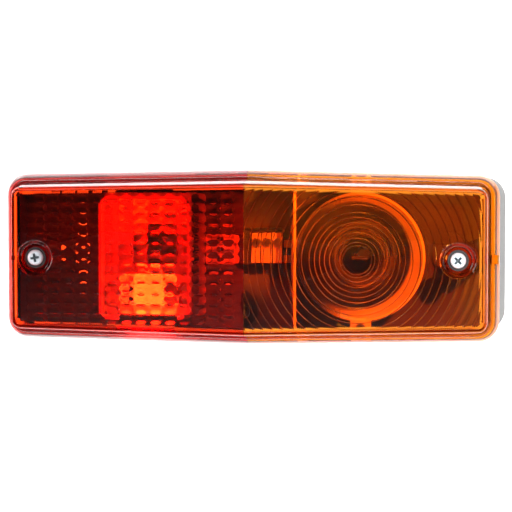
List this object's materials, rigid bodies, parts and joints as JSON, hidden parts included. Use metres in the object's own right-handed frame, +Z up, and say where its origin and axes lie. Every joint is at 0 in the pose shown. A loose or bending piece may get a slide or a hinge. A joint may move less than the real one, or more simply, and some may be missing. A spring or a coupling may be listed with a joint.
{
  "type": "trailer tail light",
  "caption": "Rectangular two-colour rear lamp for a trailer: stop and tail light behind a red lens half, turn light behind an amber half, on a grey tray housing with a rear cable inlet.",
  "frame": {"origin": "midway between the two mounting holes on the flat back, in line with the lens seam", "axes": "+X along the lamp towards the amber end, +Y out of the back into the vehicle, +Z up; the lens faces -Y"},
  "size_m": [0.2395, 0.0605, 0.083],
  "materials": {
    "housing_plastic": "dark grey glass-filled plastic with a fine moulded grain",
    "red_plastic": "clear red acrylic, polished outside, prisms inside",
    "amber_plastic": "clear amber acrylic, polished outside, rings inside",
    "clear_plastic": "clear acrylic",
    "black_rubber": "black rubber",
    "zinc_steel": "bright zinc-plated steel",
    "brass": "plain brass",
    "reflector_white": "gloss white enamel on sheet steel",
    "reflector_bright": "bright drawn aluminium",
    "white_plastic": "off-white moulded plastic",
    "grey_plastic": "pale grey moulded plastic",
    "dark_plastic": "black phenolic moulding",
    "brown_phenolic": "brown laminated phenolic",
    "bulb_glass": "clear bulb glass",
    "tungsten": "dull tungsten and nickel wire"
  },
  "bodies": {
    "base": {"housing": "housing_plastic", "lens_gasket": "black_rubber", "boss_nuts": "brass", "stop_reflector": "reflector_white", "turn_reflector": "reflector_bright", "reflector_screws": "zinc_steel", "partition": "grey_plastic", "terminal_block": "dark_plastic", "terminal_clamps": "brass", "terminal_screws": "zinc_steel", "contact_strips": "brass", "cable_grommet": "black_rubber", "stop_socket": "zinc_steel", "stop_spring": "zinc_steel", "turn_socket": "zinc_steel", "turn_spring": "zinc_steel", "plate_bulb_tray": "white_plastic", "plate_bulb_clips": "brass", "plate_bulb_caps": "zinc_steel", "plate_bulb_glass": "bulb_glass"},
    "lens": {"red_lens": "red_plastic", "amber_lens": "amber_plastic", "plate_window": "clear_plastic", "screw_seals": "black_rubber"},
    "left_screw": {"left_lens_screw": "zinc_steel"},
    "right_screw": {"right_lens_screw": "zinc_steel"},
    "stop_disc": {"stop_contact": "brown_phenolic", "stop_contact_studs": "brass"},
    "stop_bulb": {"stop_bulb_cap": "brass", "stop_bulb_glass": "bulb_glass", "stop_filaments": "tungsten"},
    "turn_disc": {"turn_contact": "brown_phenolic", "turn_contact_stud": "brass"},
    "turn_bulb": {"turn_bulb_cap": "brass", "turn_bulb_glass": "bulb_glass", "turn_filament": "tungsten"}
  },
  "joints": [
    {"name": "lens_pull", "type": "slide", "parent": "base", "child": "lens", "axis": [0, -1, 0], "range_m": [0, 0.045]},
    {"name": "left_screw_turn", "type": "hinge", "parent": "lens", "child": "left_screw", "pos_m": [-0.1, -0.05, 0], "axis": [0, -1, 0], "continuous": true},
    {"name": "right_screw_turn", "type": "hinge", "parent": "lens", "child": "right_screw", "pos_m": [0.1, -0.05, 0], "axis": [0, -1, 0], "continuous": true},
    {"name": "stop_bulb_push", "type": "slide", "parent": "base", "child": "stop_disc", "axis": [0, 1, 0], "range_m": [0, 0.0015], "stiffness_N_per_m": 1500, "springref_m": -0.004, "deforming": ["stop_spring"]},
    {"name": "stop_bulb_twist", "type": "hinge", "parent": "stop_disc", "child": "stop_bulb", "pos_m": [-0.045, -0.02, 0.005], "axis": [0, -1, 0], "range_deg": [0, 20]},
    {"name": "turn_bulb_push", "type": "slide", "parent": "base", "child": "turn_disc", "axis": [0, 1, 0], "range_m": [0, 0.0015], "stiffness_N_per_m": 1500, "springref_m": -0.004, "deforming": ["turn_spring"]},
    {"name": "turn_bulb_twist", "type": "hinge", "parent": "turn_disc", "child": "turn_bulb", "pos_m": [0.053, -0.02, 0], "axis": [0, -1, 0], "range_deg": [0, 20]}
  ]
}
